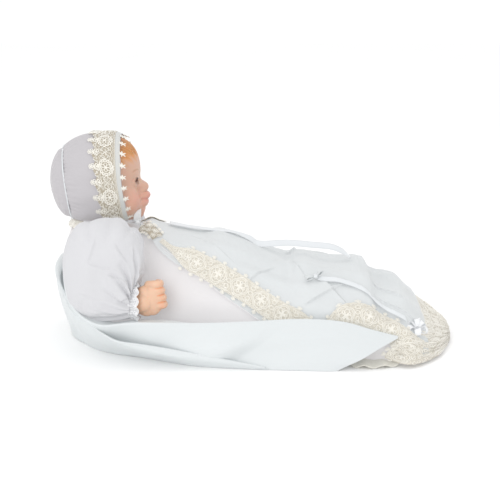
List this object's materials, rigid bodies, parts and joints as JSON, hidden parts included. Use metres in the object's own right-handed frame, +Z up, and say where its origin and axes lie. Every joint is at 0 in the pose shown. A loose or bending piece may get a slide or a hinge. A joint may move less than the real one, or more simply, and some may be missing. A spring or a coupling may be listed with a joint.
{
  "type": "porcelain baby doll in a christening gown",
  "caption": "Baby doll with porcelain head, hands and lower legs on a cloth body, seated in a long lace-trimmed gown, bonnet and satin cape.",
  "frame": {"origin": "on the surface that the doll sits on, on its middle plane, halfway between the back of the bonnet and the gown's hem", "axes": "+X from the back of the bonnet towards the hem, +Y to the doll's left, +Z up"},
  "size_m": [0.516, 0.284, 0.2701],
  "materials": {
    "porcelain": "tinted bisque, softly matt, with painted cheeks, lips, brows and hair",
    "glass_eye": "polished glass-like eye with a brown iris",
    "bonnet_cotton": "fine plain-weave cotton, cool white",
    "lace": "ivory corded lace with a scalloped edge",
    "satin": "white satin ribbon with a soft shine",
    "steel": "zinc-plated wire and nut",
    "muslin": "unbleached plain-weave muslin",
    "filling": "polyester fibre filling",
    "fibre": "pressed hardboard disc",
    "tape": "cotton tape",
    "gown_cotton": "fine plain-weave cotton, cool white",
    "gown_lining": "smooth taffeta lining, faintly pink",
    "organza": "sheer organza, cool white",
    "cape_satin": "smooth dull satin, cool white"
  },
  "bodies": {
    "torso": {"shoulder_plate": "porcelain", "torso_cover": "muslin", "torso_filling": "filling", "shoulder_left_disc_body": "fibre", "shoulder_left_pin": "steel", "hip_left_disc_body": "fibre", "hip_left_pin": "steel", "shoulder_right_disc_body": "fibre", "shoulder_right_pin": "steel", "hip_right_disc_body": "fibre", "hip_right_pin": "steel", "gown_bodice": "gown_cotton", "gown_underskirt": "gown_lining", "gown_front_panel": "organza", "front_lace_left": "lace", "front_lace_right": "lace", "hem_lace": "lace", "collar_ruffle": "lace", "ribbon_streamer_long": "satin", "ribbon_streamer_short": "satin", "skirt_bow": "satin", "hem_rosette": "satin", "cape": "cape_satin"},
    "neck": {"neck_rod": "steel", "neck_nut": "steel", "neck_spring": "steel"},
    "head": {"head": "porcelain", "eye_left": "glass_eye", "eye_right": "glass_eye", "bonnet_crown": "bonnet_cotton", "bonnet_brim": "bonnet_cotton", "bonnet_lace": "lace", "bonnet_band": "satin", "bonnet_ruffle": "lace", "chin_bow": "satin", "bonnet_tie_left": "satin", "bonnet_tie_right": "satin"},
    "arm_left": {"shoulder_left_disc_limb": "fibre", "forearm_left": "porcelain", "upper_arm_left": "muslin", "arm_binding_left": "tape", "sleeve_left": "gown_cotton", "cuff_lace_left": "lace"},
    "arm_right": {"shoulder_right_disc_limb": "fibre", "forearm_right": "porcelain", "upper_arm_right": "muslin", "arm_binding_right": "tape", "sleeve_right": "gown_cotton", "cuff_lace_right": "lace"},
    "leg_left": {"hip_left_disc_limb": "fibre", "lower_leg_left": "porcelain", "thigh_left": "muslin", "leg_binding_left": "tape"},
    "leg_right": {"hip_right_disc_limb": "fibre", "lower_leg_right": "porcelain", "thigh_right": "muslin", "leg_binding_right": "tape"}
  },
  "joints": [
    {"name": "neck_turn", "type": "hinge", "parent": "torso", "child": "neck", "pos_m": [-0.186, 0, 0.15], "axis": [0, 0, 1], "range_deg": [-40, 40]},
    {"name": "neck_nod", "type": "hinge", "parent": "neck", "child": "head", "pos_m": [-0.186, 0, 0.15], "axis": [0, 1, 0], "range_deg": [-10, 8]},
    {"name": "shoulder_left", "type": "hinge", "parent": "torso", "child": "arm_left", "pos_m": [-0.175, 0.0495, 0.104], "axis": [0, -1, 0], "range_deg": [-5, 45]},
    {"name": "shoulder_right", "type": "hinge", "parent": "torso", "child": "arm_right", "pos_m": [-0.175, -0.0495, 0.104], "axis": [0, -1, 0], "range_deg": [-5, 45]},
    {"name": "hip_left", "type": "hinge", "parent": "torso", "child": "leg_left", "pos_m": [-0.118, 0.0348, 0.034], "axis": [0, -1, 0], "range_deg": [-5, 12]},
    {"name": "hip_right", "type": "hinge", "parent": "torso", "child": "leg_right", "pos_m": [-0.118, -0.0348, 0.034], "axis": [0, -1, 0], "range_deg": [-5, 12]}
  ]
}
